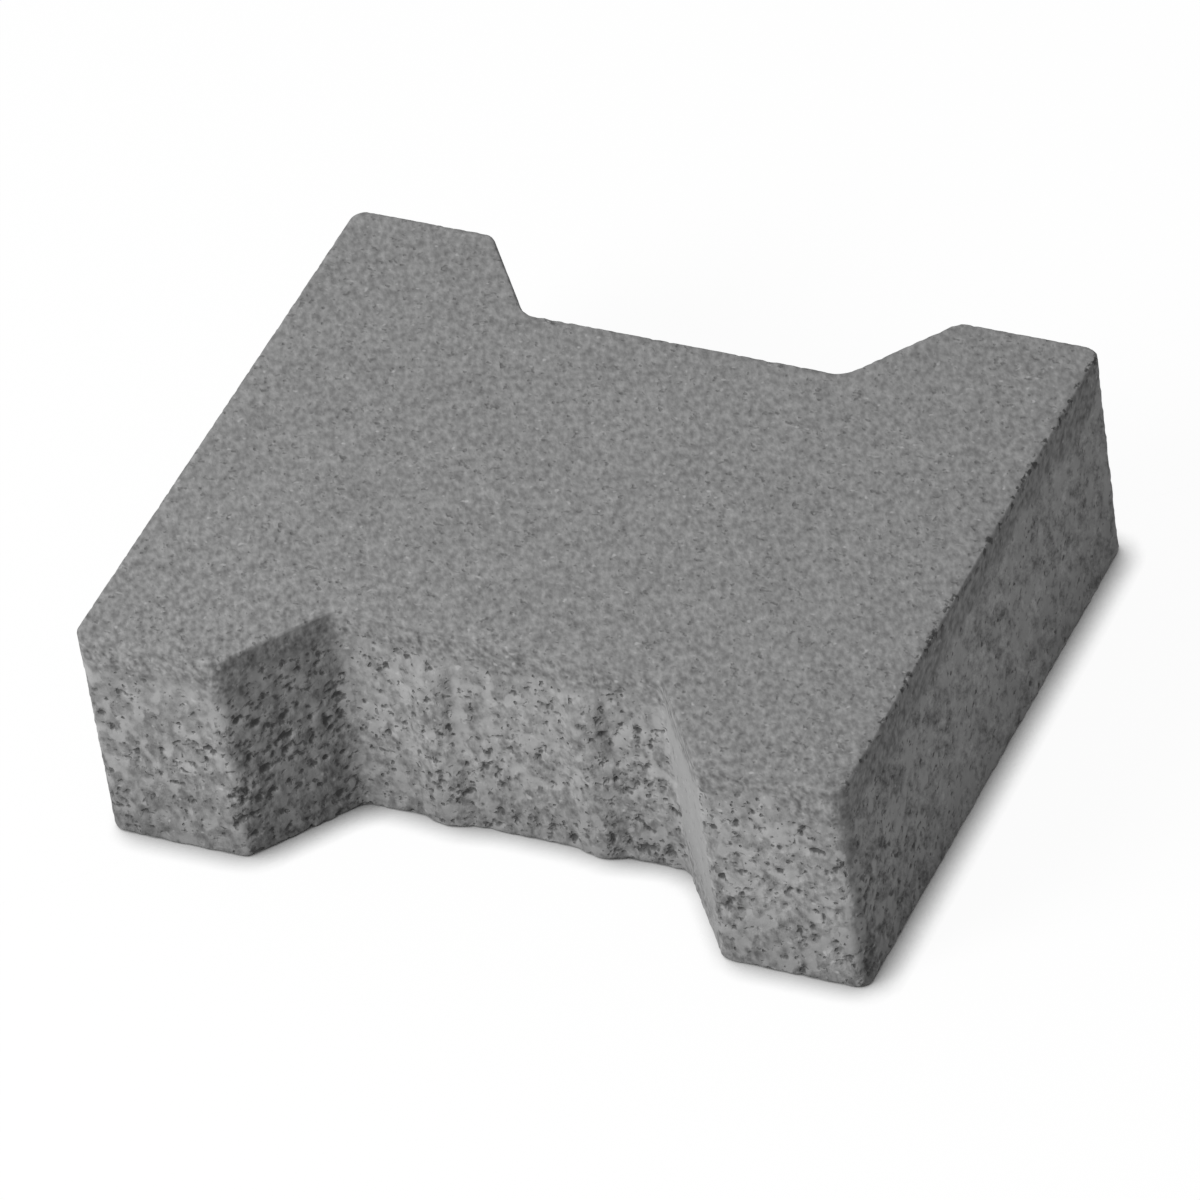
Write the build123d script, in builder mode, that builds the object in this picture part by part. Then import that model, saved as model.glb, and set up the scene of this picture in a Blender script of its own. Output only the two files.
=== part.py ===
"""
Concrete paving stone of the double-T kind, pressed in one piece from one mix.

Seen from above the stone is a wide letter I. Two straight flanges run along Y, and a web
joins them. On each long wall a notch with slanted flanks opens between the flanges, and
the flanges of the neighbouring stones lock into it. Two round nibs stand on the wall at the
bottom of each notch and keep the sand joint open. They die away below the wearing face, so
that they can't be seen once the stone is laid.

Sizes are in millimetres. The origin is the middle of the bed face, the face that lies on
the sand. X runs across the two flanges, Y runs along them, and Z points up to the
wearing face.
"""

import os
from math import atan, degrees, radians, sin

from build123d import *

# The stone over all, without the sand joint round it
stone_length = 197.0
stone_width = 163.0
stone_height = 62.0

# The flanges, at their ends and where the slanted flanks meet the web's wall
flange_end_width = 37.0
flange_root_width = 56.5
notch_depth = 25.4

# Upright corners of the mould
outer_corner_radius = 4.0
flange_end_radius = 4.5
notch_corner_radius = 6.0

# Edges round the wearing face and round the bed face
wearing_edge_radius = 0.8
bed_edge_radius = 0.8

# Spacer nibs on each notch wall
nib_width = 15.0
nib_stand = 1.75
nib_root_radius = 4.0
nib_pitch_share = 0.48  # of the wall between the notch's corners
nib_start_below_top = 8.0
nib_slope_height = 9.0

# Places that follow from the sizes
side_x = stone_length / 2
end_y = stone_width / 2
wall_y = end_y - notch_depth
flange_end_x = side_x - flange_end_width
notch_corner_x = side_x - flange_root_width
nib_pitch = nib_pitch_share * 2 * notch_corner_x
nib_top_z = stone_height - nib_start_below_top

# The nib's section is three arcs that run into each other: root, nose and root. Both roots
# turn by the same angle, and the angle follows from how wide the nib is and how far it stands.
nib_root_angle = 2 * degrees(atan(nib_stand / (nib_width / 2)))
nib_nose_radius = nib_width / 2 / sin(radians(nib_root_angle)) - nib_root_radius

# One quarter of the outline, from the notch's corner out to the stone's own corner. It is
# turned over for the far side, and both are turned half round for the other flange.
quarter = [
    (notch_corner_x, wall_y, notch_corner_radius),
    (flange_end_x, end_y, flange_end_radius),
    (side_x, end_y, outer_corner_radius),
]
one_flange = [(x, -y, radius) for x, y, radius in quarter]
one_flange += [(x, y, radius) for x, y, radius in reversed(quarter)]
outline = one_flange + [(-x, -y, radius) for x, y, radius in one_flange]

# One spacer nib, with its back at Y = 0 and its nose towards -Y
with BuildPart() as nib:
    with BuildSketch() as nib_section:
        with BuildLine():
            rise = JernArc(
                start=(-nib_width / 2, 0), tangent=(1, 0), radius=nib_root_radius, arc_size=-nib_root_angle
            )
            nose = JernArc(
                start=rise @ 1, tangent=rise % 1, radius=nib_nose_radius, arc_size=2 * nib_root_angle
            )
            fall = JernArc(
                start=nose @ 1, tangent=nose % 1, radius=nib_root_radius, arc_size=-nib_root_angle
            )
            Line(fall @ 1, rise @ 0)
        make_face()
    extrude(amount=nib_top_z)
    # The top slopes back into the wall, which lets the stone slide out of the mould
    slope = Plane(origin=(0, 0, nib_top_z), x_dir=(1, 0, 0), z_dir=(0, -nib_slope_height, nib_stand))
    split(bisect_by=slope, keep=Keep.BOTTOM)

# The stone itself
with BuildPart() as paving_stone:
    with BuildSketch() as plan:
        with BuildLine():
            FilletPolyline(
                *[(x, y) for x, y, radius in outline],
                radius=[radius for x, y, radius in outline],
                close=True,
            )
        make_face()
    extrude(amount=stone_height)
    wearing_edges = paving_stone.faces().sort_by(Axis.Z)[-1].outer_wire().edges()
    fillet(wearing_edges, wearing_edge_radius)

    # Two nibs on the near wall, and their mirror image on the far wall
    with Locations((-nib_pitch / 2, -wall_y), (nib_pitch / 2, -wall_y)):
        near_nibs = add(nib.part)
    mirror(near_nibs, about=Plane.XZ)
    bed_edges = paving_stone.faces().sort_by(Axis.Z)[0].outer_wire().edges()
    fillet(bed_edges, bed_edge_radius)

os.makedirs("parts", exist_ok=True)
paving_stone.part.label = "paving_stone"
export_step(paving_stone.part, "parts/paving_stone.step")
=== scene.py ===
"""
Concrete paving stone of the double-T kind: the skin of its faces, and a plain studio stage.

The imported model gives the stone's place and its size over all. Its skin is one closed mesh of
fine columns and rows, laid over the same outline and nibs. Geometry Nodes then press the relief
into it: the sand of the wearing face, the gravel and open pores of the sides, the crumbled
edges. The material takes its patterns from the place that each point had before the relief, so
a dark pore is also a deep one. The relief only goes inwards, so the skin stays in the solid's box.

Lengths are metres, unless a name or a comment says millimetres.
"""

import math
from functools import partial

import bpy
from bpy.props import FloatProperty, FloatVectorProperty, IntProperty, PointerProperty
from mathutils import Matrix, Vector
from mathutils.geometry import delaunay_2d_cdt
from mathutils.kdtree import KDTree


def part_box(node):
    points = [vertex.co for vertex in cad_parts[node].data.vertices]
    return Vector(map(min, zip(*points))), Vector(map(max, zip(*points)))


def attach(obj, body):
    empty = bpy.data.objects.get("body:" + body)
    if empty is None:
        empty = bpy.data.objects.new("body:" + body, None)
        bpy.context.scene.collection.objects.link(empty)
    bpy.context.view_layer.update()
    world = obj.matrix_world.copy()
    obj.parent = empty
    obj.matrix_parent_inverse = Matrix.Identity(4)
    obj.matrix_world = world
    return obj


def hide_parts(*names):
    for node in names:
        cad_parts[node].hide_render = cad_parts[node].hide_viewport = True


bl_info = {
    "name": "Double-T Paving Stone",
    "version": (1, 0, 0),
    "blender": (4, 5, 0),
    "location": "3D View > Sidebar > Paving Stone",
    "description": "Lays a pressed concrete skin over the packed paving stone, and sets up a plain stage",
    "category": "Object",
}

MM = 0.001
NODE = "paving_stone"
BODY = "root"

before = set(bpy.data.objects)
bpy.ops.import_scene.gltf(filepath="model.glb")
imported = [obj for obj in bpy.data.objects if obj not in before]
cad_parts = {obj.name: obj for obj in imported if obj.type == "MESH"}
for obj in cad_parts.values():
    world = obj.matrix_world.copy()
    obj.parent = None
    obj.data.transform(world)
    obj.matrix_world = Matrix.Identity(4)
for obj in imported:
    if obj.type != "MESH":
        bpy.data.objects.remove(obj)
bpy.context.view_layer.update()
STONE_LOW, STONE_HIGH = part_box(NODE)


def linear(hex_colour):
    """The linear colour of an sRGB hex value, with full alpha."""
    channels = [int(hex_colour[i : i + 2], 16) / 255 for i in (1, 3, 5)]
    return [c / 12.92 if c <= 0.04045 else ((c + 0.055) / 1.055) ** 2.4 for c in channels] + [1.0]


def length(name, description, millimetres):
    """A length that a user can change."""
    return FloatProperty(
        name=name, description=description, default=millimetres * MM, min=0.0, precision=5, unit="LENGTH"
    )


def colour(name, description, hex_colour):
    """A colour that a user can change."""
    return FloatVectorProperty(
        name=name,
        description=description,
        default=linear(hex_colour),
        size=4,
        min=0.0,
        max=1.0,
        subtype="COLOR",
    )


def angle(name, description, degrees):
    """An angle that a user can change."""
    return FloatProperty(name=name, description=description, default=math.radians(degrees), subtype="ANGLE")


class PavingStoneSizes(bpy.types.PropertyGroup):
    """Sizes of the outline and the nibs, as in the solid, and how fine the skin is."""

    notch_depth: length("Notch Depth", "From a flange's end to the web's wall", 25.4)
    flange_end_width: length("Flange End", "Width of a flange at its end", 37.0)
    flange_root_width: length("Flange Root", "Width of a flange at the web's wall", 56.5)
    outer_corner_radius: length("Outer Corner", "Radius of the four outer corners", 4.0)
    flange_end_radius: length("Flange Corner", "Radius where a flange's end meets its flank", 4.5)
    notch_corner_radius: length("Notch Corner", "Radius where a flank meets the web's wall", 6.0)
    wearing_edge_radius: length("Wearing Edge", "Rounding round the wearing face", 0.8)
    bed_edge_radius: length("Bed Edge", "Rounding round the bed face", 0.8)
    nib_width: length("Nib Width", "Width of a spacer nib at its root", 15.0)
    nib_stand: length("Nib Stand", "How far a spacer nib stands out of the wall", 1.75)
    nib_root_radius: length("Nib Root", "Hollow radius where a nib leaves the wall", 4.0)
    nib_pitch: length("Nib Pitch", "Distance between the two nibs of a wall", 40.32)
    nib_start: length("Nib Start", "From the wearing face down to the top of a nib", 8.0)
    nib_slope: length("Nib Slope", "Height over which a nib slopes out of the wall", 9.0)
    wall_step: length("Wall Step", "Spacing of the skin's points on the walls", 0.9)
    wearing_step: length("Wearing Face Step", "Spacing of the skin's points on the wearing face", 1.15)
    bed_step: length("Bed Face Step", "Spacing of the skin's points on the bed face", 2.2)


class ConcreteFinish(bpy.types.PropertyGroup):
    """Colours, pattern sizes and relief of the pressed concrete."""

    face_colour: colour("Face Mix", "Fine mix of the wearing face", "#848484")
    core_colour: colour("Core Mix", "Coarse mix of the sides", "#909090")
    paste_colour: colour("Paste", "Cement paste that the mould smoothed over the gravel", "#a0a0a0")
    # The pore colour is partly painted shade: the hollows of pores, cracks, pinholes and broken crumbs
    # darken to it
    pore_shade_colour: colour("Pores", "Bottom of an open pore", "#484848")
    grain_colour: colour("Pale Grains", "Quartz grains at the surface", "#b8b8b8")
    sand_size: length("Sand", "Grains of the face mix, drawn coarse enough to show", 1.6)
    grit_size: length("Grit", "Grains of the core mix", 1.9)
    gravel_size: length("Gravel", "Stones of the core mix", 5.0)
    pore_size: length("Pore Size", "Spacing at which the open pores vary", 2.3)
    face_depth: length("Face Mix Depth", "Thickness of the fine mix under the wearing face", 9.0)
    pore_depth: length("Pore Depth", "Depth of the open pores", 1.0)
    stone_relief: length("Gravel Relief", "How far the gaps between the stones lie back", 0.2)
    grain_relief: length("Grain Relief", "Unevenness of every face", 0.12)
    edge_crumble: length("Edge Crumble", "How much the edges have lost", 0.3)
    seed: IntProperty(name="Seed", description="Picks one of many like stones", default=3, min=0)


class StudioStage(bpy.types.PropertyGroup):
    """The camera and the light."""

    camera_azimuth: angle("Azimuth", "How far round the stone the camera stands", 29.36)
    camera_elevation: angle("Elevation", "How far above level the camera stands", 41.01)
    camera_roll: angle("Roll", "How far the camera is turned about its own view", 8.9)
    camera_distance: length("Distance", "From the camera to the point that it looks at", 2529.0)
    camera_lens: FloatProperty(
        name="Lens", description="Focal length in millimetres", default=318.33, min=1.0
    )
    key_power: FloatProperty(
        name="Key Light", description="Power of the key light", default=34.0, min=0.0, unit="POWER"
    )
    key_distance: length("Key Distance", "From the key light to the stone", 2000.0)
    key_width: length("Key Width", "Width of the round key light", 880.0)
    sky_colour: colour("Sky", "Even light from all round", "#b8b8b8")
    floor_colour: colour("Floor", "What the floor sends back onto the stone", "#989898")


def add_node(tree, kind, *values, output=None, named=None, **settings):
    """Adds a node with its settings and links, and returns its first output or the one that is asked for.
    The values fill its inputs in order, and named fills others. A value that is a socket is linked."""
    node = tree.nodes.new(kind)
    for name, value in settings.items():
        setattr(node, name, value)
    inputs = [socket for socket in node.inputs if socket.enabled]
    filled = list(zip(inputs, values))
    for name, value in (named or {}).items():
        filled.append((next(socket for socket in inputs if socket.name == name), value))
    for socket, value in filled:
        if isinstance(value, bpy.types.NodeSocket):
            tree.links.new(value, socket)
        else:
            socket.default_value = value
    return next((s for s in node.outputs if s.enabled and output in (None, s.name)), None)


# The outline and the skin


def outline_corners(sizes):
    """The twelve corners of the I-shaped outline as (x, y, radius), counter-clockwise from above."""
    side_x, end_y = STONE_HIGH.x, STONE_HIGH.y
    quarter = [
        (side_x - sizes.flange_root_width, end_y - sizes.notch_depth, sizes.notch_corner_radius),
        (side_x - sizes.flange_end_width, end_y, sizes.flange_end_radius),
        (side_x, end_y, sizes.outer_corner_radius),
    ]
    one_flange = [(x, -y, radius) for x, y, radius in quarter] + quarter[::-1]
    return one_flange + [(-x, -y, radius) for x, y, radius in one_flange]


def corner_arcs(corners):
    """The arc of each corner as (centre, start, radius, turn), with a hollow corner's turn below zero."""
    arcs = []
    for i, (x, y, radius) in enumerate(corners):
        corner = Vector((x, y))
        to_last = (Vector(corners[i - 1][:2]) - corner).normalized()
        to_next = (Vector(corners[(i + 1) % len(corners)][:2]) - corner).normalized()
        half_angle = to_last.angle(to_next) / 2
        centre = corner + (to_last + to_next).normalized() * radius / math.sin(half_angle)
        start = corner + to_last * radius / math.tan(half_angle)
        turn = math.pi - 2 * half_angle
        arcs.append((centre, start, radius, turn if to_last.cross(to_next) < 0 else -turn))
    return arcs


def outline_points(sizes):
    """Points round the stone, about wall_step apart, as pairs of place and outward direction."""
    arcs = corner_arcs(outline_corners(sizes))
    points = []
    for i, (centre, start, radius, turn) in enumerate(arcs):
        spoke = start - centre
        steps = max(2, round(radius * abs(turn) / sizes.wall_step))
        for k in range(steps + 1):
            turned = Matrix.Rotation(turn * k / steps, 2) @ spoke
            points.append((centre + turned, turned.normalized() * math.copysign(1, turn)))
        run_start, outward = points[-1]
        run_end = arcs[(i + 1) % len(arcs)][1]
        steps = max(1, round((run_end - run_start).length / sizes.wall_step))
        points += [(run_start.lerp(run_end, k / steps), outward) for k in range(1, steps)]
    return points


def wall_rows(sizes):
    """Rows from the bed face up to the wearing face, as pairs of height and inset from the wall."""
    bed, wearing = sizes.bed_edge_radius, sizes.wearing_edge_radius
    arc_steps = 4
    turns = [math.pi / 2 * k / arc_steps for k in range(arc_steps + 1)]
    straight = STONE_HIGH.z - bed - wearing
    steps = round(straight / sizes.wall_step)
    rows = [(bed * (1 - math.cos(a)), bed * (1 - math.sin(a))) for a in turns]
    rows += [(bed + straight * k / steps, 0.0) for k in range(1, steps)]
    rows += [(STONE_HIGH.z - wearing * (1 - math.sin(a)), wearing * (1 - math.cos(a))) for a in turns]
    return rows


def nib_lift(sizes, place, outward, height):
    """How far a nib stands out of the wall at this place, or 0 where there is none."""
    wall_y = STONE_HIGH.y - sizes.notch_depth
    slight_turn = 0.01
    on_wall = abs(outward.x) < slight_turn and abs(abs(place.y) - wall_y) < MM
    across = abs(abs(place.x) - sizes.nib_pitch / 2)
    half_width = sizes.nib_width / 2
    if not on_wall or across >= half_width:
        return 0.0
    root_angle = 2 * math.atan(sizes.nib_stand / half_width)
    root = sizes.nib_root_radius
    nose = half_width / math.sin(root_angle) - root
    if across < nose * math.sin(root_angle):
        section = sizes.nib_stand - nose + math.sqrt(nose**2 - across**2)
    else:
        section = root - math.sqrt(root**2 - (half_width - across) ** 2)
    below_start = STONE_HIGH.z - sizes.nib_start - height
    return max(0.0, min(section, below_start * sizes.nib_stand / sizes.nib_slope))


def ramp(value, low, high):
    """0 below low, 1 above high, and a smooth slope between them."""
    share = min(1.0, max(0.0, (value - low) / (high - low)))
    return share * share * (3 - 2 * share)


def mould_marks_and_nib_shade(sizes, place, outward):
    """What the mould did to a wall: paste is 1 where it smeared cement over a flank and -1 where it left
    the wall starved of it, and drag is 1 where it scraped up along a side. Past the web's right nib the
    starved mark is partly painted shade."""
    facing = (0.6, 1.0)

    # The near walls are a little starved. In a strip past the web's right nib they are darker still and
    # more
    #     pitted: painted shade on the nib's side away from the key light, and real pores. The strip is
    #         measured in
    #     nib widths from the middle of that nib
    everywhere, in_nib_shade = 0.25, 0.7
    nib_shade_start, nib_shade_end = (0.0, 0.3), (0.7, 1.2)
    past_nib = (place.x - sizes.nib_pitch / 2) / sizes.nib_width
    nib_shade_strip = ramp(past_nib, *nib_shade_start) * (1.0 - ramp(past_nib, *nib_shade_end))
    starved_near_and_nib_shade = (everywhere + in_nib_shade * nib_shade_strip) * ramp(-outward.y, *facing)

    in_notch = abs(place.x) < STONE_HIGH.x - sizes.flange_end_width / 2
    if in_notch:
        # The flanks of a notch face half sideways. The left one is starved, and the right one is smeared
        starved_turn, smeared_turn = (0.2, 0.7), (0.4, 0.79)
        starved_flank = ramp(outward.x, *starved_turn)
        return ramp(-outward.x, *smeared_turn) - max(starved_near_and_nib_shade, starved_flank), 0.0

    # The mould scraped the right side twice as hard as the left one
    left_share = 0.5
    right_side = ramp(outward.x, *facing)
    left_side = ramp(-outward.x, *facing)
    starved_side = right_side * ramp(-place.y, 0.0, STONE_HIGH.y)
    return -max(starved_near_and_nib_shade, starved_side), right_side + left_share * left_side


def fill_ring(ring, outwards, spacing):
    """Even triangles inside a ring of points. Returns the points that were added, and the triangles, which
    number the ring's points first and the added ones after them."""
    finder = KDTree(len(ring))
    for i, place in enumerate(ring):
        finder.insert((*place, 0.0), i)
    finder.balance()
    added = []
    row_step = spacing * math.sqrt(3) / 2
    rim_clearance = 0.75 * spacing
    for row in range(int(2 * STONE_HIGH.y / row_step)):
        for column in range(int(2 * STONE_HIGH.x / spacing)):
            x = STONE_LOW.x + spacing * (column + (row % 2) / 2)
            place = Vector((x, STONE_LOW.y + row_step * row))
            _, nearest, distance = finder.find((*place, 0.0))
            if distance > rim_clearance and (place - ring[nearest]).dot(outwards[nearest]) < 0:
                added.append(place)
    points = [place / MM for place in ring + added]
    rim = [(i, (i + 1) % len(ring)) for i in range(len(ring))]
    inside_rim = 1
    same_point = 1e-5
    joined, _, triangles, sources, _, _ = delaunay_2d_cdt(points, rim, [], inside_rim, same_point)
    if len(joined) != len(points):
        raise RuntimeError("points of a face ran together")
    return added, [[sources[i][0] for i in triangle] for triangle in triangles]


def wall_mesh(sizes, columns, rows):
    """Places and faces of the walls, row by row from the bed face up."""
    places, faces = [], []
    for height, inset in rows:
        for place, outward in columns:
            moved = place + outward * (nib_lift(sizes, place, outward, height) - inset)
            places.append((*moved, height))
    count = len(columns)
    for low in range(0, len(places) - count, count):
        for column in range(count):
            after = (column + 1) % count
            faces.append((low + column, low + after, low + count + after, low + count + column))
    return places, faces


def close_end(places, faces, columns, first, spacing, height, upward):
    """Adds a level face inside the row of wall points that starts with number first."""
    count = len(columns)
    ring = [Vector(place[:2]) for place in places[first : first + count]]
    added, triangles = fill_ring(ring, [outward for _, outward in columns], spacing)
    after_rim = len(places) - count
    for triangle in triangles:
        face = [i + (first if i < count else after_rim) for i in triangle]
        faces.append(face if upward else face[::-1])
    places += [(*place, height) for place in added]


def bare_skin(sizes):
    """The stone's smooth skin as one closed mesh, with the mould's marks as attributes."""
    columns = outline_points(sizes)
    rows = wall_rows(sizes)
    marks = [mould_marks_and_nib_shade(sizes, place, outward) for place, outward in columns] * len(rows)
    places, faces = wall_mesh(sizes, columns, rows)
    top_row = len(places) - len(columns)
    close_end(places, faces, columns, 0, sizes.bed_step, STONE_LOW.z, upward=False)
    close_end(places, faces, columns, top_row, sizes.wearing_step, STONE_HIGH.z, upward=True)
    no_marks = (0.0, 0.0)
    marks += [no_marks] * (len(places) - len(marks))

    mesh = bpy.data.meshes.new("paving_stone_skin")
    mesh.from_pydata(places, [], faces)
    mesh.shade_smooth()
    for name, values in zip(("paste", "drag"), zip(*marks)):
        mesh.attributes.new(name, "FLOAT", "POINT").data.foreach_set("value", list(values))
    return mesh


# The patterns of the concrete. The relief and the material make them from the same nodes. A pattern is
# a dictionary of sockets by name, and the functions add to it. Sizes here are millimetres, and a
# noise's size is how far apart its lumps are. Spots cut from the top of a noise are much smaller.

NOISE_RANGE = (0.3, 0.7)  # most values of a noise texture lie between these
SMOOTH = {"interpolation_type": "SMOOTHSTEP"}


def seed_shift(finish):
    """How far the patterns are moved for this seed, in millimetres. Another seed is another stone."""
    step_x, step_y = 37.0, 59.0
    return (step_x * finish.seed, step_y * finish.seed, 0.0)


def mix_layers(add, pattern, finish):
    """The fine face mix ends in a wavering line, and under it the core mix gets coarser downwards."""
    waver_size, waver_reach, half_blend = 14.0, 4.0, 2.0
    fine_depth, coarse_depth, finest = 6.0, 34.0, 0.5
    mean = finish.face_depth / MM
    waver = add("ShaderNodeTexNoise", pattern["place"], 1 / waver_size)
    face_depth = add("ShaderNodeMapRange", waver, *NOISE_RANGE, mean - waver_reach, mean + waver_reach)
    height = add("ShaderNodeSeparateXYZ", pattern["place"], output="Z")
    depth = add("ShaderNodeMath", STONE_HIGH.z / MM, height, operation="SUBTRACT")
    below_face_mix = add("ShaderNodeMath", depth, face_depth, operation="SUBTRACT")
    pattern["waver"] = waver
    pattern["height"] = height
    pattern["depth"] = depth
    pattern["core"] = add("ShaderNodeMapRange", below_face_mix, -half_blend, half_blend, **SMOOTH)
    pattern["coarse"] = add("ShaderNodeMapRange", depth, fine_depth, coarse_depth, finest, 1.0)


def buried_stones(add, pattern, finish):
    """Stones behind the pressed face: 0 in the gaps between them, 1 on them, and a tone for each."""
    wobble_size, wobble_reach = 2.2, 4.5
    gap, rim = 0.05, 0.3
    wobble = add("ShaderNodeTexNoise", pattern["place"], 1 / wobble_size, output="Color")
    reach = (wobble_reach, wobble_reach, wobble_reach)
    wobbled = add("ShaderNodeVectorMath", wobble, reach, pattern["place"], operation="MULTIPLY_ADD")
    scale = MM / finish.gravel_size
    from_gap = add("ShaderNodeTexVoronoi", wobbled, scale, feature="DISTANCE_TO_EDGE")
    tone = add("ShaderNodeTexVoronoi", wobbled, scale, output="Color")
    pattern["from gap"] = from_gap
    pattern["stones"] = add("ShaderNodeMapRange", from_gap, gap, rim, **SMOOTH)
    pattern["stone tone"] = add("ShaderNodeSeparateXYZ", tone)


def open_pores(add, pattern, finish):
    """Open pores gather in loose patches, low down, between the stones and on starved walls."""
    patch_size, patch_detail = 11.0, 1.0
    patch_range, patch_crowding = (0.35, 0.7), (-0.16, -0.06)
    causes = {"coarse": 0.06, "stones": -0.05, "paste": -0.08, "drag": -0.045}
    ragged_detail, ragged_roughness = 1.5, 0.5
    dark_range, deep_range = (0.54, 0.7), (0.56, 0.74)
    loose = add("ShaderNodeTexNoise", pattern["place"], 1 / patch_size, patch_detail)
    crowding = add("ShaderNodeMapRange", loose, *patch_range, *patch_crowding)
    for cause, weight in causes.items():
        crowding = add("ShaderNodeMath", pattern[cause], weight, crowding, operation="MULTIPLY_ADD")
    scale = MM / finish.pore_size
    ragged = add("ShaderNodeTexNoise", pattern["place"], scale, ragged_detail, ragged_roughness)
    level = add("ShaderNodeMath", ragged, crowding, operation="ADD")
    pattern["crowding"] = crowding
    pattern["pores"] = add("ShaderNodeMapRange", level, *dark_range, **SMOOTH)
    pattern["pore depth"] = add("ShaderNodeMapRange", level, *deep_range, **SMOOTH)


def open_cracks(add, pattern):
    """Here and there a gap between two stones stays open for a few millimetres."""
    beside_gap, in_gap = 0.13, 0.03
    patch_size, patch_detail = 1.8, 1.0
    patch_range, widest = (0.57, 0.68), 0.7
    crack = add("ShaderNodeMapRange", pattern["from gap"], beside_gap, in_gap, **SMOOTH)
    some = add("ShaderNodeTexNoise", pattern["place"], 1 / patch_size, patch_detail)
    some = add("ShaderNodeMath", some, pattern["crowding"], operation="ADD")
    some = add("ShaderNodeMapRange", some, *patch_range, 0.0, widest, **SMOOTH)
    pattern["cracks"] = add("ShaderNodeMath", crack, some, operation="MULTIPLY")


def smeared_paste(add, pattern):
    """Paste that the mould smeared over a flank hides most of the core mix, except low down."""
    patchiness, smear_range, shows_through = 0.35, (0.2, 0.8), 0.08
    low, high, low_share = 4.0, 26.0, 0.1
    patchy = add("ShaderNodeMapRange", pattern["waver"], *NOISE_RANGE, -patchiness, patchiness)
    reach = add("ShaderNodeMapRange", pattern["height"], low, high, low_share, 1.0)
    smear = add("ShaderNodeMath", pattern["paste"], reach, patchy, operation="MULTIPLY_ADD")
    smear = add("ShaderNodeMapRange", smear, *smear_range, **SMOOTH)
    bare = add("ShaderNodeMapRange", smear, 0.0, 1.0, 1.0, shows_through)
    pattern["smear"] = smear
    pattern["bare core"] = add("ShaderNodeMath", pattern["core"], bare, operation="MULTIPLY")


def broken_crumbs(add, pattern):
    """Crumbs broke off just under the wearing edge of the scraped sides."""
    lowest, highest, least_drag = 2.8, 1.0, 0.5
    crumb_size, crumb_detail, crumb_range = 1.9, 1.0, (0.54, 0.66)
    under_edge = add("ShaderNodeMapRange", pattern["depth"], lowest, highest, **SMOOTH)
    hard_scraped = add("ShaderNodeMapRange", pattern["drag"], least_drag, 1.0)
    under_edge = add("ShaderNodeMath", under_edge, hard_scraped, operation="MULTIPLY")
    crumb = add("ShaderNodeTexNoise", pattern["place"], 1 / crumb_size, crumb_detail)
    crumb = add("ShaderNodeMapRange", crumb, *crumb_range, **SMOOTH)
    pattern["crumbs"] = add("ShaderNodeMath", crumb, under_edge, operation="MULTIPLY")


def pressed_patterns(add, place, paste, drag, finish):
    """Patterns that the mix and the mould left, as sockets by name. The place is in millimetres."""
    pattern = {"place": place, "paste": paste, "drag": drag}
    mix_layers(add, pattern, finish)
    buried_stones(add, pattern, finish)
    open_pores(add, pattern, finish)
    open_cracks(add, pattern)
    smeared_paste(add, pattern)
    broken_crumbs(add, pattern)
    return pattern


# The relief


def pressed_depth(add, pattern, given):
    """How deep the relief is on the walls and faces. Pores and cracks are the deepest, and the gaps between
    the stones lie a little back."""
    crack_share, uneven_size, uneven_detail = 0.5, 2.3, 1.0
    shallow = add("ShaderNodeMath", pattern["cracks"], crack_share, operation="MULTIPLY")
    holes = add("ShaderNodeMath", pattern["pore depth"], shallow, operation="MAXIMUM")
    holes = add("ShaderNodeMath", holes, given["Pore Depth"], operation="MULTIPLY")
    gaps = add("ShaderNodeMath", 1.0, pattern["stones"], operation="SUBTRACT")
    depth = add("ShaderNodeMath", gaps, given["Gravel Relief"], holes, operation="MULTIPLY_ADD")
    depth = add("ShaderNodeMath", depth, pattern["bare core"], operation="MULTIPLY")
    depth = add("ShaderNodeMath", pattern["crumbs"], given["Edge Crumble"], depth, operation="MULTIPLY_ADD")
    uneven = add("ShaderNodeTexNoise", pattern["place"], 1 / uneven_size, uneven_detail)
    return add("ShaderNodeMath", uneven, given["Grain Relief"], depth, operation="MULTIPLY_ADD")


def edge_loss(add, place, normal):
    """How much an edge has crumbled. An edge is where the skin slants, and noise bites into it."""
    leaving_wall, leaving_face = (0.05, 0.5), (1.0, 0.9)
    bite_size, bite_range = 2.0, (0.45, 0.75)
    upward = add("ShaderNodeSeparateXYZ", normal, output="Z")
    slant = add("ShaderNodeMath", upward, operation="ABSOLUTE")
    off_wall = add("ShaderNodeMapRange", slant, *leaving_wall, **SMOOTH)
    off_face = add("ShaderNodeMapRange", slant, *leaving_face, **SMOOTH)
    edge = add("ShaderNodeMath", off_wall, off_face, operation="MULTIPLY")
    bite = add("ShaderNodeTexNoise", place, 1 / bite_size)
    bite = add("ShaderNodeMapRange", bite, *bite_range, **SMOOTH)
    return add("ShaderNodeMath", edge, bite, operation="MULTIPLY")


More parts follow.
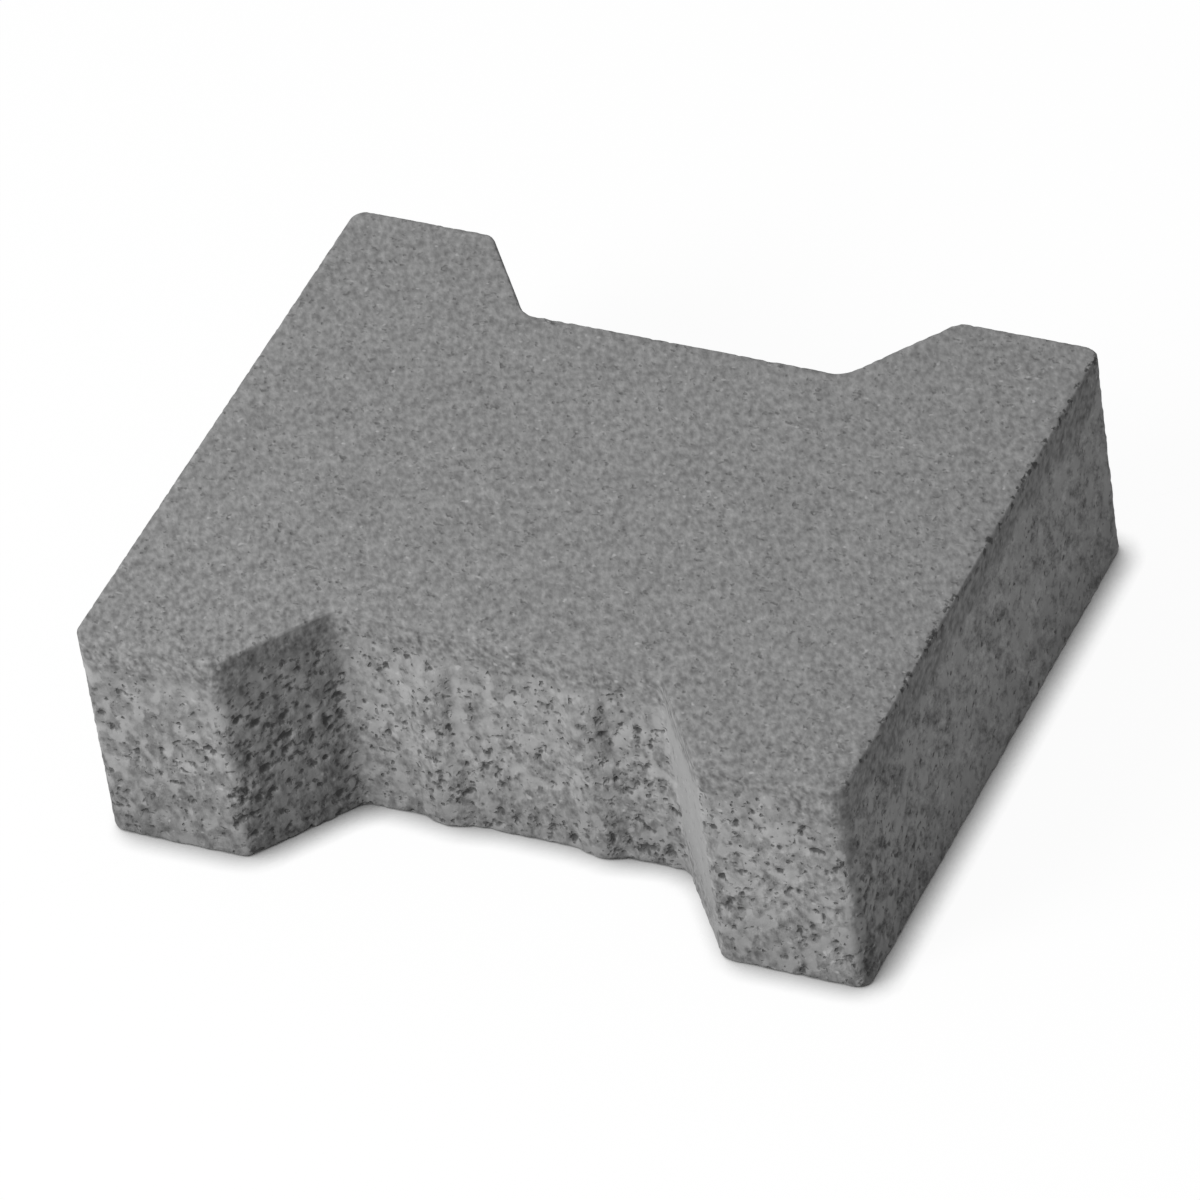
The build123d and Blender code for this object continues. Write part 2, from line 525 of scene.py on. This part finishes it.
def relief_tree(finish):
    """Geometry Nodes that press the relief into the skin, always inwards."""
    tree = bpy.data.node_groups.new("Pressed Concrete Relief", "GeometryNodeTree")
    add = partial(add_node, tree)
    for name, kind in (
        ("Geometry", "NodeSocketGeometry"),
        ("Pore Depth", "NodeSocketFloat"),
        ("Gravel Relief", "NodeSocketFloat"),
        ("Grain Relief", "NodeSocketFloat"),
        ("Edge Crumble", "NodeSocketFloat"),
        ("Material", "NodeSocketMaterial"),
    ):
        tree.interface.new_socket(name=name, in_out="INPUT", socket_type=kind)
    tree.interface.new_socket(name="Geometry", in_out="OUTPUT", socket_type="NodeSocketGeometry")
    given = add("NodeGroupInput").node.outputs

    position = add("GeometryNodeInputPosition")
    true_place = add("ShaderNodeVectorMath", position, 1 / MM, operation="SCALE")
    place = add("ShaderNodeVectorMath", true_place, seed_shift(finish), operation="ADD")
    paste = add("GeometryNodeInputNamedAttribute", "paste", data_type="FLOAT")
    drag = add("GeometryNodeInputNamedAttribute", "drag", data_type="FLOAT")
    pattern = pressed_patterns(add, place, paste, drag, finish)

    normal = add("GeometryNodeInputNormal")
    depth = pressed_depth(add, pattern, given)
    lost = edge_loss(add, place, normal)
    depth = add("ShaderNodeMath", lost, given["Edge Crumble"], depth, operation="MULTIPLY_ADD")
    inwards = add("ShaderNodeMath", depth, -1.0, operation="MULTIPLY")
    offset = add("ShaderNodeVectorMath", normal, inwards, operation="SCALE")
    placed = add(
        "GeometryNodeStoreNamedAttribute",
        given["Geometry"],
        named={"Name": "mould_place", "Value": place},
        data_type="FLOAT_VECTOR",
        domain="POINT",
    )
    pressed = add("GeometryNodeSetPosition", placed, named={"Offset": offset})
    real = add("GeometryNodeRealizeInstances", pressed)
    dressed = add("GeometryNodeSetMaterial", real, named={"Material": given["Material"]})
    add("NodeGroupOutput", dressed)
    return tree


def press_relief(mesh, finish, material):
    """The skin as an object, with its relief pressed in and its material on."""
    piece = bpy.data.objects.new("paving_stone_skin", mesh)
    bpy.context.scene.collection.objects.link(piece)
    tree = relief_tree(finish)
    modifier = piece.modifiers.new("Pressed Concrete Relief", "NODES")
    modifier.node_group = tree
    values = {
        "Pore Depth": finish.pore_depth,
        "Gravel Relief": finish.stone_relief,
        "Grain Relief": finish.grain_relief,
        "Edge Crumble": finish.edge_crumble,
        "Material": material,
    }
    for item in tree.interface.items_tree:
        if item.in_out == "INPUT" and item.name in values:
            modifier[item.identifier] = values[item.name]
    depsgraph = bpy.context.evaluated_depsgraph_get()
    evaluated = piece.evaluated_get(depsgraph)
    pressed = bpy.data.meshes.new_from_object(evaluated, preserve_all_data_layers=True, depsgraph=depsgraph)
    piece.modifiers.remove(modifier)
    piece.data = pressed
    bpy.data.meshes.remove(mesh)
    return piece


# The material. A tone multiplies a colour, and 1 leaves it as it is.

NO_SHIFT = (0.0, 0.0, 0.0)


def mark_places(add, pattern, finish):
    """Each point's place on the stone without the seed's shift, and 1 where it is well down a wall."""
    wall_start = 3.0
    true_place = add("ShaderNodeVectorMath", pattern["place"], seed_shift(finish), operation="SUBTRACT")
    pattern["x"] = add("ShaderNodeSeparateXYZ", true_place, output="X")
    pattern["y"] = add("ShaderNodeSeparateXYZ", true_place, output="Y")
    pattern["on wall"] = add("ShaderNodeMapRange", pattern["depth"], 0.0, wall_start)


def face_mix_tone(add, pattern, finish):
    """Mottled sand. The feed drawer drew it out along its way, and it is rougher on the walls and in
    front than on the rest of the wearing face."""
    drawer_way, drawn = (0.0, 0.0, math.radians(29.0)), (1.0, 1.5, 1.3)
    sand_detail, sand_roughness = 1.5, 0.6
    sand_range, swing = (0.25, 0.75), 0.34
    mottle_size, mottle = 8.0, (0.94, 1.06)
    swept = add("ShaderNodeMapping", pattern["place"], NO_SHIFT, drawer_way, drawn, vector_type="TEXTURE")
    sand = add("ShaderNodeTexNoise", swept, MM / finish.sand_size, sand_detail, sand_roughness)
    sand_swing = add("ShaderNodeMapRange", sand, *sand_range, -swing, swing)
    mottling = add("ShaderNodeTexNoise", pattern["place"], 1 / mottle_size)
    mottle_tone = add("ShaderNodeMapRange", mottling, *NOISE_RANGE, *mottle)
    pattern["sand"] = sand
    pattern["sand swing"] = sand_swing
    pattern["mottle tone"] = mottle_tone

    near_range, near_roughness, wall_roughness = (-30.0, -75.0), 1.25, 0.5
    on_wall = pattern["on wall"]
    roughness = add("ShaderNodeMapRange", pattern["y"], *near_range, 1.0, near_roughness)
    roughness = add("ShaderNodeMath", on_wall, wall_roughness, roughness, operation="MULTIPLY_ADD")
    tone = add("ShaderNodeMath", sand_swing, roughness, mottle_tone, operation="MULTIPLY_ADD")

    # The face mix is darker towards the right, away from the key light: painted shade. It is also darker on
    #     # the walls and where it is starved, and past the web's right nib that is painted shade too
    shade_falloff_range, far_right_shade = (20.0, 95.0), 0.95
    starved_range, starved_loss, wall_loss = (-1.0, -0.3), -0.1, -0.04
    side_to_side_tone = add("ShaderNodeMapRange", pattern["x"], *shade_falloff_range, 1.0, far_right_shade)
    tone = add("ShaderNodeMath", tone, side_to_side_tone, operation="MULTIPLY")
    tone = add("ShaderNodeMath", on_wall, wall_loss, tone, operation="MULTIPLY_ADD")
    starved = add("ShaderNodeMapRange", pattern["paste"], *starved_range, starved_loss, 0.0)
    return add("ShaderNodeMath", on_wall, starved, tone, operation="MULTIPLY_ADD")


def scraped_side_tone(add, pattern):
    """The scraped sides have less grit, and softer stains that the mould drew out aslant."""
    aslant, drawn = (math.radians(-45.0), 0.0, 0.0), (1.0, 1.8, 1.0)
    stain_size, stain_detail, stain_roughness = 3.2, 3.5, 0.7
    stain_tones, sand_share = (0.36, 1.72), 0.2
    near_range, near_loss = (-20.0, -70.0), -0.22
    scrape = add("ShaderNodeMapping", pattern["place"], NO_SHIFT, aslant, drawn, vector_type="TEXTURE")
    stains = add("ShaderNodeTexNoise", scrape, 1 / stain_size, stain_detail, stain_roughness)
    tone = add("ShaderNodeMapRange", stains, *NOISE_RANGE, *stain_tones)
    darker = add("ShaderNodeMapRange", pattern["y"], *near_range, 0.0, near_loss)
    tone = add("ShaderNodeMath", tone, darker, operation="ADD")
    return add("ShaderNodeMath", pattern["sand swing"], sand_share, tone, operation="MULTIPLY_ADD")


def core_mix_tone(add, pattern, finish):
    """Grit, and each stone has a tone of its own under the paste. Where the feed drawer's way began the
    mix is darker and more even, and it darkens towards the bed, which is painted shade where the stone
    stands on the floor."""
    squeeze = (1.0, 1.0, 0.75)
    grit_detail, grit_roughness, grit_swings = 2.5, 0.55, (-0.46, 0.41)
    start_range, start_tone = (-85.0, -55.0), 0.84
    starved_range, starved_tone = (-0.6, 0.0), 0.9
    bed_shade_range, lowest_bed_shade = (2.0, 26.0), 0.74
    stone_tones = (0.9, 1.1)
    pattern["drawn up"] = add("ShaderNodeVectorMath", pattern["place"], squeeze, operation="MULTIPLY")
    scale = MM / finish.grit_size
    grit = add("ShaderNodeTexNoise", pattern["drawn up"], scale, grit_detail, grit_roughness)
    side_to_side_tone = add("ShaderNodeMapRange", pattern["x"], *start_range, start_tone, 1.0)
    grit_swing = add("ShaderNodeMapRange", grit, *NOISE_RANGE, *grit_swings)
    grit_swing = add("ShaderNodeMath", grit_swing, pattern["coarse"], operation="MULTIPLY")
    grit_swing = add("ShaderNodeMath", grit_swing, side_to_side_tone, operation="MULTIPLY")
    stone_tone = add("ShaderNodeMapRange", pattern["stone tone"], 0.0, 1.0, *stone_tones)
    tone = add("ShaderNodeMath", grit_swing, stone_tone, operation="ADD")
    tone = add("ShaderNodeMix", pattern["drag"], tone, scraped_side_tone(add, pattern))
    # Starved walls are darker; past the web's right nib this darkening is painted shade
    starved = add("ShaderNodeMapRange", pattern["paste"], *starved_range, starved_tone, 1.0)
    starved = add("ShaderNodeMath", starved, side_to_side_tone, operation="MULTIPLY")
    tone = add("ShaderNodeMath", tone, starved, operation="MULTIPLY")
    pattern["grit"] = grit
    # Painted shade: the walls darken towards the bed, where the stone stands on the floor
    pattern["bed tone"] = add("ShaderNodeMapRange", pattern["height"], *bed_shade_range, lowest_bed_shade, 1.0)
    return add("ShaderNodeMath", tone, pattern["bed tone"], operation="MULTIPLY")


def paste_tone(add, pattern):
    """Smooth paste, a little darker where it was smeared, and with the same painted shade towards the bed.
    """
    smeared_tone = 0.84
    smeared = add("ShaderNodeMapRange", pattern["smear"], 0.0, 1.0, 1.0, smeared_tone)
    tone = add("ShaderNodeMath", pattern["mottle tone"], pattern["bed tone"], operation="MULTIPLY")
    return add("ShaderNodeMath", tone, smeared, operation="MULTIPLY")


def paste_cover(add, pattern):
    """Smooth paste lies in ragged patches, and over all of a smeared flank."""
    patch_size, patch_detail, grit_share = 4.5, 1.0, 0.3
    patch_range, thickest = (0.63, 0.8), 0.85
    level = add("ShaderNodeTexNoise", pattern["drawn up"], 1 / patch_size, patch_detail)
    level = add("ShaderNodeMath", pattern["grit"], grit_share, level, operation="MULTIPLY_ADD")
    patches = add("ShaderNodeMapRange", level, *patch_range, 0.0, thickest, **SMOOTH)
    return add("ShaderNodeMath", patches, pattern["smear"], operation="MAXIMUM")


def shaded_holes(add, pattern):
    """Open pores and cracks of the core mix, and the places where crumbs broke off. The pore colour
    that they get is partly painted shade inside these hollows.
    """
    darkest_hole_shade = 0.9
    holes = add("ShaderNodeMath", pattern["pores"], pattern["cracks"], operation="MAXIMUM")
    holes = add("ShaderNodeMath", holes, pattern["bare core"], operation="MULTIPLY")
    holes = add("ShaderNodeMath", holes, darkest_hole_shade, operation="MULTIPLY")
    return add("ShaderNodeMath", holes, pattern["crumbs"], operation="MAXIMUM")


def rim_tone(add, pattern):
    """The edge of the wearing face is a little darker, more so over a smeared flank."""
    edge_start, edge_end = (0.0, 0.15), (1.8, 0.4)
    darkening, smeared_share = 0.3, 2.0
    below_face = add("ShaderNodeMapRange", pattern["depth"], *edge_start, **SMOOTH)
    above_wall = add("ShaderNodeMapRange", pattern["depth"], *edge_end, 0.0, darkening, **SMOOTH)
    smeared = add("ShaderNodeMapRange", pattern["paste"], 0.0, 1.0, 1.0, smeared_share)
    loss = add("ShaderNodeMath", below_face, above_wall, operation="MULTIPLY")
    loss = add("ShaderNodeMath", loss, pattern["grit"], operation="MULTIPLY")
    loss = add("ShaderNodeMath", loss, smeared, operation="MULTIPLY")
    return add("ShaderNodeMath", 1.0, loss, operation="SUBTRACT")


def grain_bump(add, pattern, cover, pinholes, holes):
    """Grains stand 0.1 to 0.2 mm proud, and pinholes go in. Heights are millimetres."""
    sand_height, grit_height = 0.35, 0.6
    drag_share, calmest = 0.6, 0.3
    pinhole_depth, hole_depth = -0.3, -0.4
    grains = add("ShaderNodeMix", pattern["core"], pattern["sand"], pattern["grit"])
    proud = add("ShaderNodeMath", pattern["coarse"], grit_height, operation="MULTIPLY")
    proud = add("ShaderNodeMix", pattern["core"], sand_height, proud)
    hidden = add("ShaderNodeMath", cover, pattern["core"], operation="MULTIPLY")
    hidden = add(
        "ShaderNodeMath", pattern["drag"], drag_share, hidden, operation="MULTIPLY_ADD", use_clamp=True
    )
    calm = add("ShaderNodeMapRange", hidden, 0.0, 1.0, 1.0, calmest)
    height = add("ShaderNodeMath", grains, proud, operation="MULTIPLY")
    height = add("ShaderNodeMath", height, calm, operation="MULTIPLY")
    height = add("ShaderNodeMath", pinholes, pinhole_depth, height, operation="MULTIPLY_ADD")
    height = add("ShaderNodeMath", holes, hole_depth, height, operation="MULTIPLY_ADD")
    return add("ShaderNodeBump", named={"Distance": MM, "Height": height})


def pressed_concrete(finish):
    """Concrete, vibrated and pressed in a steel mould, dry and unworn. Its face mix is fine sand in cement:
    matt and even, with pinholes and a few pale quartz grains. Its core mix is coarse: smooth paste over
    gravel, dark open pores and short cracks between the stones, and scraped where the mould was drawn."""
    material = bpy.data.materials.new("pressed_concrete")
    material.use_nodes = True
    tree = material.node_tree
    tree.nodes.clear()
    add = partial(add_node, tree)
    place = add("ShaderNodeAttribute", attribute_name="mould_place", output="Vector")
    paste = add("ShaderNodeAttribute", attribute_name="paste", output="Fac")
    drag = add("ShaderNodeAttribute", attribute_name="drag", output="Fac")
    pattern = pressed_patterns(add, place, paste, drag, finish)
    mark_places(add, pattern, finish)

    face_tone = face_mix_tone(add, pattern, finish)
    core_tone = core_mix_tone(add, pattern, finish)
    smooth_tone = paste_tone(add, pattern)
    face = add("ShaderNodeVectorMath", finish.face_colour[:3], face_tone, operation="SCALE")
    core = add("ShaderNodeVectorMath", finish.core_colour[:3], core_tone, operation="SCALE")
    smooth = add("ShaderNodeVectorMath", finish.paste_colour[:3], smooth_tone, operation="SCALE")
    cover = paste_cover(add, pattern)
    core = add("ShaderNodeMix", cover, core, smooth, data_type="RGBA")
    base = add("ShaderNodeMix", pattern["core"], face, core, data_type="RGBA")

    # Pinholes between the grains of sand, a few pale grains, and the open pores. The dark pore colour of
    #     # pinholes and pores is partly painted shade
    pinhole_size, pinhole_detail = 1.8, 1.0
    pinhole_range, darkest_hole_shade = (0.62, 0.78), 0.5
    grain_size, grain_detail = 1.6, 0.0
    grain_range, palest = (0.74, 0.9), 0.6
    pinholes = add("ShaderNodeTexNoise", place, 1 / pinhole_size, pinhole_detail)
    pinholes = add("ShaderNodeMapRange", pinholes, *pinhole_range, 0.0, darkest_hole_shade, **SMOOTH)
    pale_grains = add("ShaderNodeTexNoise", place, 1 / grain_size, grain_detail)
    pale_grains = add("ShaderNodeMapRange", pale_grains, *grain_range, 0.0, palest, **SMOOTH)
    holes = shaded_holes(add, pattern)
    base = add("ShaderNodeMix", pinholes, base, finish.pore_shade_colour, data_type="RGBA")
    base = add("ShaderNodeMix", pale_grains, base, finish.grain_colour, data_type="RGBA")
    base = add("ShaderNodeMix", holes, base, finish.pore_shade_colour, data_type="RGBA")
    base = add("ShaderNodeVectorMath", base, rim_tone(add, pattern), operation="SCALE")
    surface = add(
        "ShaderNodeBsdfPrincipled",
        base,
        named={"Roughness": 0.92, "IOR": 1.5, "Normal": grain_bump(add, pattern, cover, pinholes, holes)},
    )
    add("ShaderNodeOutputMaterial", surface)
    return material


# The stage

CAMERA_AIM = Vector((-0.00066, -0.00216, 0.02921))  # the point that the camera looks at
KEY_DIRECTION = Vector((-0.47, -0.67, 0.58)).normalized()  # from the stone: left, in front and above
FLOOR_HALF_WIDTH = 4.0


def seen_directly(tree):
    """1 for the rays that show the background itself, and 0 for those that light the stone."""
    rays = add_node(tree, "ShaderNodeLightPath").node.outputs
    camera, glossy, through = rays["Is Camera Ray"], rays["Is Glossy Ray"], rays["Is Transmission Ray"]
    seen = add_node(tree, "ShaderNodeMath", camera, glossy, operation="MAXIMUM")
    return add_node(tree, "ShaderNodeMath", seen, through, operation="MAXIMUM")


def white_floor(stage):
    """Seamless white paper, matt and lit from beneath. It shows as white, with a painted contact shadow, a
    soft dark line where the stone touches it that leans away from the key light, and a faint real shadow.
    It sends a plain grey light back onto the stone."""
    material = bpy.data.materials.new("white_paper")
    material.use_nodes = True
    tree = material.node_tree
    tree.nodes.clear()
    add = partial(add_node, tree)
    white = linear("#ffffff")
    contact_shadow_width, contact_shadow_range = 9.0 * MM, (0.2, 0.85)
    occlusion_rays, shadow_share = 8, 0.05
    # Painted contact shadow: occlusion near the stone dims the glow, looked for up and to the left so that
    # it leans away from the key light
    up_and_left = add("ShaderNodeCombineXYZ", -0.5, 0.1, 0.86)
    nearness = add(
        "ShaderNodeAmbientOcclusion",
        white,
        contact_shadow_width,
        up_and_left,
        output="AO",
        samples=occlusion_rays,
    )
    painted_contact_shadow = add("ShaderNodeMapRange", nearness, *contact_shadow_range, 0.0, 1.0)
    shadowed_glow = add("ShaderNodeEmission", white, painted_contact_shadow)
    paper = add("ShaderNodeBsdfDiffuse", white)
    shown = add("ShaderNodeMixShader", shadow_share, shadowed_glow, paper)
    bounce = add("ShaderNodeBsdfDiffuse", stage.floor_colour)
    surface = add("ShaderNodeMixShader", seen_directly(tree), bounce, shown)
    add("ShaderNodeOutputMaterial", surface)
    return material


def lay_floor(stage):
    """A wide floor level with the bed face."""
    reach = FLOOR_HALF_WIDTH
    mesh = bpy.data.meshes.new("floor")
    corners = [(-reach, -reach), (reach, -reach), (reach, reach), (-reach, reach)]
    mesh.from_pydata([(x, y, STONE_LOW.z) for x, y in corners], [], [(0, 1, 2, 3)])
    mesh.materials.append(white_floor(stage))
    floor = bpy.data.objects.new("floor", mesh)
    bpy.context.scene.collection.objects.link(floor)


def light_stage(stage):
    """Even light from all round, and a wide soft key light from the left, in front and above."""
    world = bpy.data.worlds.new("studio")
    world.use_nodes = True
    tree = world.node_tree
    tree.nodes.clear()
    white = linear("#ffffff")
    shown = add_node(tree, "ShaderNodeMix", seen_directly(tree), stage.sky_colour, white, data_type="RGBA")
    background = add_node(tree, "ShaderNodeBackground", shown)
    add_node(tree, "ShaderNodeOutputWorld", background)
    bpy.context.scene.world = world

    key = bpy.data.lights.new("key_light", "AREA")
    key.shape = "DISK"
    key.size = stage.key_width
    key.energy = stage.key_power
    lamp = bpy.data.objects.new("key_light", key)
    lamp.location = KEY_DIRECTION * stage.key_distance
    lamp.rotation_euler = KEY_DIRECTION.to_track_quat("Z", "Y").to_euler()
    bpy.context.scene.collection.objects.link(lamp)


def aim_camera(stage):
    """A long lens, above the stone and rolled to one side."""
    turned = (
        Matrix.Rotation(stage.camera_azimuth, 4, "Z")
        @ Matrix.Rotation(math.pi / 2 - stage.camera_elevation, 4, "X")
        @ Matrix.Rotation(-stage.camera_roll, 4, "Z")
    )
    back_off = Matrix.Translation((0, 0, stage.camera_distance))
    camera = bpy.data.cameras.new("camera")
    camera.lens = stage.camera_lens
    placed = bpy.data.objects.new("camera", camera)
    placed.matrix_world = Matrix.Translation(CAMERA_AIM) @ turned @ back_off
    bpy.context.scene.collection.objects.link(placed)
    bpy.context.scene.camera = placed


# The add-on


class OBJECT_OT_lay_paving_stone(bpy.types.Operator):
    """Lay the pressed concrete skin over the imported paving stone"""

    bl_idname = "object.lay_paving_stone"
    bl_label = "Paving Stone"
    bl_options = {"REGISTER", "UNDO"}

    def execute(self, context):
        finish = context.scene.concrete_finish
        skin = bare_skin(context.scene.paving_stone_sizes)
        stone = press_relief(skin, finish, pressed_concrete(finish))
        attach(stone, BODY)
        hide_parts(NODE)
        return {"FINISHED"}


class OBJECT_OT_set_stone_stage(bpy.types.Operator):
    """Set up the floor, the light and the camera"""

    bl_idname = "object.set_stone_stage"
    bl_label = "Stage"
    bl_options = {"REGISTER", "UNDO"}

    def execute(self, context):
        stage = context.scene.studio_stage
        lay_floor(stage)
        light_stage(stage)
        aim_camera(stage)
        context.scene.view_settings.view_transform = "Standard"
        return {"FINISHED"}


OPERATORS = (OBJECT_OT_lay_paving_stone, OBJECT_OT_set_stone_stage)
SETTINGS = {
    "paving_stone_sizes": PavingStoneSizes,
    "concrete_finish": ConcreteFinish,
    "studio_stage": StudioStage,
}


class VIEW3D_PT_paving_stone(bpy.types.Panel):
    """Sizes, finish and stage of the paving stone"""

    bl_idname = "VIEW3D_PT_paving_stone"
    bl_label = "Paving Stone"
    bl_space_type = "VIEW_3D"
    bl_region_type = "UI"
    bl_category = "Paving Stone"

    def draw(self, context):
        for operator in OPERATORS:
            self.layout.operator(operator.bl_idname)
        for name, group in SETTINGS.items():
            box = self.layout.box()
            for property_name in group.__annotations__:
                box.prop(getattr(context.scene, name), property_name)


CLASSES = (*SETTINGS.values(), *OPERATORS, VIEW3D_PT_paving_stone)


def register():
    for each in CLASSES:
        bpy.utils.register_class(each)
    for name, group in SETTINGS.items():
        setattr(bpy.types.Scene, name, PointerProperty(type=group))


def unregister():
    for name in SETTINGS:
        delattr(bpy.types.Scene, name)
    for each in reversed(CLASSES):
        bpy.utils.unregister_class(each)


def main():
    """Makes the stone and the stage."""
    register()
    bpy.ops.object.lay_paving_stone()
    bpy.ops.object.set_stone_stage()


if __name__ == "__main__":
    main()
